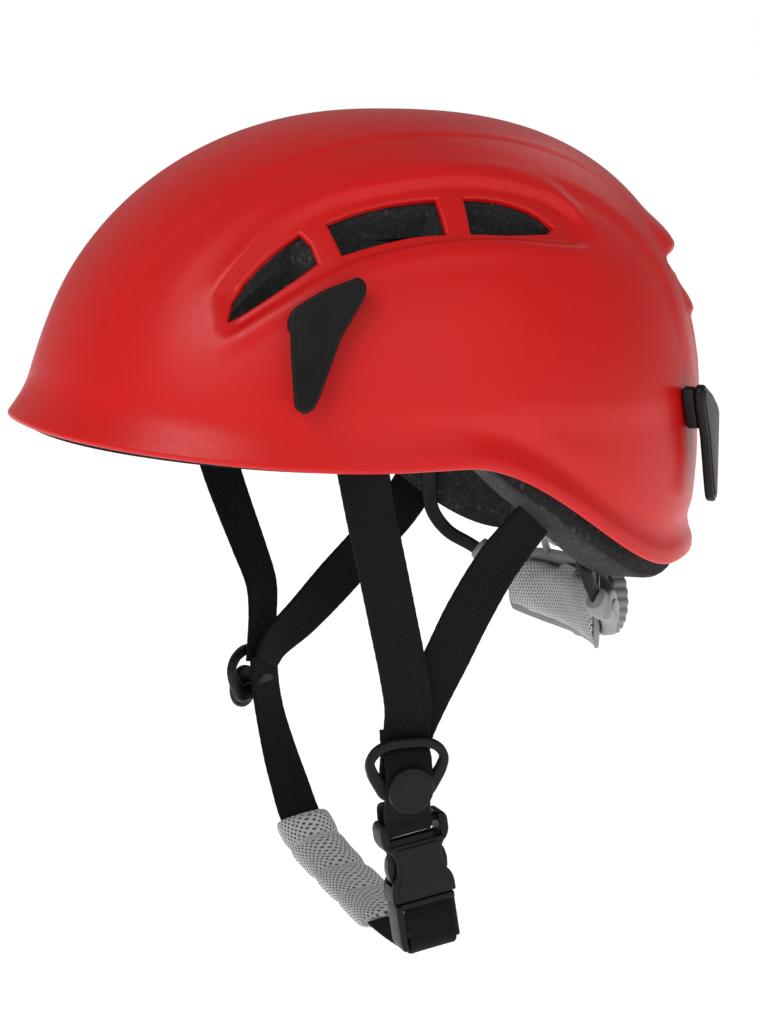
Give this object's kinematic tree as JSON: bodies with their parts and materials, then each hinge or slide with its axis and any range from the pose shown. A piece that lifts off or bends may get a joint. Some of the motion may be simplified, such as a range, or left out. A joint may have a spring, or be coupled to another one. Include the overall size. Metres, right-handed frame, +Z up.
{
  "type": "climbing helmet",
  "caption": "Hard-shell climbing helmet with a vented dome, foam liner, headlamp clips, webbing chinstrap with side-release buckle and wheel-adjusted nape cradle.",
  "frame": {"origin": "centre of the crown pad's underside, where the helmet rests on top of the head", "axes": "+Z up through the crown, -Y towards the brow, +X towards the wearer's left"},
  "size_m": [0.225, 0.2886, 0.3397],
  "materials": {
    "shell": "moulded hard plastic, satin gloss",
    "foam": "expanded bead foam",
    "black_plastic": "moulded, fine grain",
    "webbing": "woven polyester webbing",
    "grey_mesh": "spacer mesh over foam",
    "dark_pad": "brushed fabric over foam",
    "steel": "plain steel",
    "grey_plastic": "moulded nylon"
  },
  "bodies": {
    "helmet": {"outer_shell": "shell", "foam_liner": "foam", "brow_pad": "dark_pad", "side_pad_left": "dark_pad", "side_pad_right": "dark_pad", "crown_pad": "dark_pad", "clip_base_front_left": "black_plastic", "clip_base_front_right": "black_plastic", "clip_base_rear_left": "black_plastic", "clip_base_rear_right": "black_plastic", "strap_anchor_front_left": "black_plastic", "strap_anchor_front_right": "black_plastic", "strap_anchor_rear_left": "black_plastic", "strap_anchor_rear_right": "black_plastic", "strap_front_left": "webbing", "strap_front_right": "webbing", "strap_rear_left": "webbing", "strap_rear_right": "webbing", "buckle_strap": "webbing", "buckle_socket": "black_plastic", "cradle_arm_left": "black_plastic", "cradle_arm_right": "black_plastic", "temple_anchor_left": "black_plastic", "temple_anchor_right": "black_plastic", "yoke_anchor": "black_plastic", "yoke_pin": "steel"},
    "clip_front_left": {"clip_lever_front_left": "black_plastic"},
    "clip_front_right": {"clip_lever_front_right": "black_plastic"},
    "clip_rear_left": {"clip_lever_rear_left": "black_plastic"},
    "clip_rear_right": {"clip_lever_rear_right": "black_plastic"},
    "divider_left": {"strap_divider_left": "black_plastic", "divider_disc_left": "black_plastic"},
    "divider_right": {"strap_divider_right": "black_plastic", "divider_disc_right": "black_plastic"},
    "plug": {"buckle_plug": "black_plastic", "chin_strap": "webbing", "chin_pad": "grey_mesh"},
    "prong_front": {"buckle_prong_front": "black_plastic"},
    "prong_rear": {"buckle_prong_rear": "black_plastic"},
    "cradle": {"cradle_frame": "grey_plastic", "nape_pad": "grey_mesh", "ratchet_housing": "grey_plastic", "detent_ring": "steel"},
    "wheel": {"adjuster_wheel": "grey_plastic", "pinion": "grey_plastic", "axle_screw": "steel", "wheel_cap": "grey_plastic"},
    "rack_left": {"rack_left": "grey_plastic"},
    "rack_right": {"rack_right": "grey_plastic"}
  },
  "joints": [
    {"name": "clip_flex_front_left", "type": "hinge", "parent": "helmet", "child": "clip_front_left", "pos_m": [0.09752, -0.05462, -0.0349], "axis": [-0.1697, -0.8934, -0.416], "range_deg": [0, 12], "stiffness_Nm_per_rad": 1},
    {"name": "clip_flex_front_right", "type": "hinge", "parent": "helmet", "child": "clip_front_right", "pos_m": [-0.09752, -0.05462, -0.0349], "axis": [-0.1697, 0.8934, 0.416], "range_deg": [0, 12], "stiffness_Nm_per_rad": 1},
    {"name": "clip_flex_rear_left", "type": "hinge", "parent": "helmet", "child": "clip_rear_left", "pos_m": [0.07229, 0.11573, -0.08332], "axis": [0.6745, -0.5999, 0.4303], "range_deg": [0, 12], "stiffness_Nm_per_rad": 1},
    {"name": "clip_flex_rear_right", "type": "hinge", "parent": "helmet", "child": "clip_rear_right", "pos_m": [-0.07229, 0.11573, -0.08332], "axis": [0.6745, 0.5999, -0.4303], "range_deg": [0, 12], "stiffness_Nm_per_rad": 1},
    {"name": "divider_slide_left", "type": "slide", "parent": "helmet", "child": "divider_left", "axis": [0.04, 0, 0.9992], "range_m": [-0.004, 0.004]},
    {"name": "divider_slide_right", "type": "slide", "parent": "helmet", "child": "divider_right", "axis": [0, 0, 1], "range_m": [-0.004, 0.004]},
    {"name": "buckle_release", "type": "slide", "parent": "helmet", "child": "plug", "axis": [0, 0.1564, -0.9877], "range_m": [0, 0.024], "deforming": ["chin_strap"]},
    {"name": "prong_squeeze_front", "type": "hinge", "parent": "plug", "child": "prong_front", "pos_m": [0.064, -0.01183, -0.28444], "axis": [-1, 0, 0], "range_deg": [0, 6], "stiffness_Nm_per_rad": 0.3},
    {"name": "prong_squeeze_rear", "type": "hinge", "parent": "plug", "child": "prong_rear", "pos_m": [0.064, 0.00516, -0.28175], "axis": [1, 0, 0], "range_deg": [0, 6], "stiffness_Nm_per_rad": 0.3},
    {"name": "cradle_swing", "type": "hinge", "parent": "helmet", "child": "cradle", "pos_m": [0, 0.099, -0.098], "axis": [1, 0, 0], "range_deg": [-5.6, 5.6], "deforming": ["cradle_arm_left", "cradle_arm_right"]},
    {"name": "wheel_spin", "type": "hinge", "parent": "cradle", "child": "wheel", "pos_m": [0, 0.108, -0.18], "axis": [0, 1, 0], "range_deg": [-137, 137]},
    {"name": "rack_slide_left", "type": "hinge", "parent": "cradle", "child": "rack_left", "pos_m": [0, 0.008, -0.1736], "axis": [0, 0, 1], "range_deg": [-6.5, 6.5]},
    {"name": "rack_slide_right", "type": "hinge", "parent": "cradle", "child": "rack_right", "pos_m": [0, 0.008, -0.1864], "axis": [0, 0, 1], "range_deg": [-6.5, 6.5]}
  ],
  "couplings": [
    {"joint": "wheel_spin", "follows": "cradle_swing", "ratio": 24.2},
    {"joint": "rack_slide_left", "follows": "cradle_swing", "ratio": -1.118},
    {"joint": "rack_slide_right", "follows": "cradle_swing", "ratio": 1.118}
  ]
}
